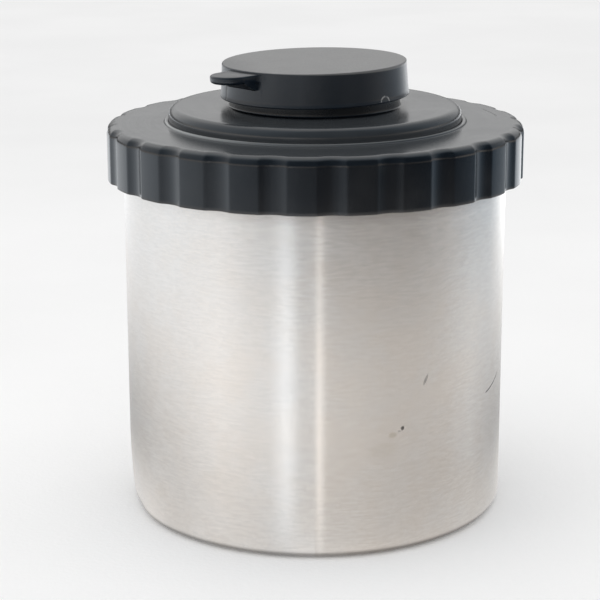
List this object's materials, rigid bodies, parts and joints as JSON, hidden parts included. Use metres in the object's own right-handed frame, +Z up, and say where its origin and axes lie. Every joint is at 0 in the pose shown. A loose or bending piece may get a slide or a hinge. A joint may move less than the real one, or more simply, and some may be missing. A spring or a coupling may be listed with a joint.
{
  "type": "film developing canister",
  "caption": "Light-tight steel film developing tank with a scalloped press-on lid, light trap, pour cap and stacked wire spiral film reels.",
  "frame": {"origin": "centre of the cup's foot, on the surface that it stands on", "axes": "+Z up along the axis of the cup; -Y faces the viewer of the picture, and +X is to the right"},
  "size_m": [0.0944, 0.0944, 0.1028],
  "materials": {
    "cup_steel": "fine brushing round the wall",
    "lid_plastic": "semi-gloss moulded black plastic",
    "cap_rubber": "matt soft black moulding with a dusty sheen",
    "reel_wire": "drawn stainless wire",
    "clip_steel": "spring steel strip"
  },
  "bodies": {
    "tank": {"tank_cup": "cup_steel"},
    "lower_reel": {"lower_reel_lower_spiral": "reel_wire", "lower_reel_upper_spiral": "reel_wire", "lower_reel_frame_wire_1": "reel_wire", "lower_reel_frame_wire_2": "reel_wire", "lower_reel_frame_wire_3": "reel_wire", "lower_reel_frame_wire_4": "reel_wire", "lower_reel_lower_core_ring": "reel_wire", "lower_reel_upper_core_ring": "reel_wire"},
    "lower_reel_film_clip": {"lower_reel_film_clip": "clip_steel"},
    "upper_reel": {"upper_reel_lower_spiral": "reel_wire", "upper_reel_upper_spiral": "reel_wire", "upper_reel_frame_wire_1": "reel_wire", "upper_reel_frame_wire_2": "reel_wire", "upper_reel_frame_wire_3": "reel_wire", "upper_reel_frame_wire_4": "reel_wire", "upper_reel_lower_core_ring": "reel_wire", "upper_reel_upper_core_ring": "reel_wire"},
    "upper_reel_film_clip": {"upper_reel_film_clip": "clip_steel"},
    "lid": {"lid_flange": "lid_plastic", "lid_centre": "lid_plastic", "light_trap_disc": "lid_plastic"},
    "pour_cap": {"pour_cap": "cap_rubber"}
  },
  "joints": [
    {"name": "lower_reel_lift", "type": "slide", "parent": "tank", "child": "lower_reel", "axis": [0, 0, 1], "range_m": [0, 0.09]},
    {"name": "upper_reel_lift", "type": "slide", "parent": "lower_reel", "child": "upper_reel", "axis": [0, 0, 1], "range_m": [0, 0.055]},
    {"name": "lid_lift", "type": "slide", "parent": "upper_reel", "child": "lid", "axis": [0, 0, 1], "range_m": [0, 0.05]},
    {"name": "cap_pull", "type": "slide", "parent": "lid", "child": "pour_cap", "axis": [0, 0, 1], "range_m": [0, 0.03]},
    {"name": "lower_reel_clip_press", "type": "hinge", "parent": "lower_reel", "child": "lower_reel_film_clip", "pos_m": [0.013, 0, 0.0208], "axis": [0, 0, 1], "range_deg": [0, 20], "stiffness_Nm_per_rad": 0.02},
    {"name": "upper_reel_clip_press", "type": "hinge", "parent": "upper_reel", "child": "upper_reel_film_clip", "pos_m": [0.013, 0, 0.0593], "axis": [0, 0, 1], "range_deg": [0, 20], "stiffness_Nm_per_rad": 0.02}
  ]
}
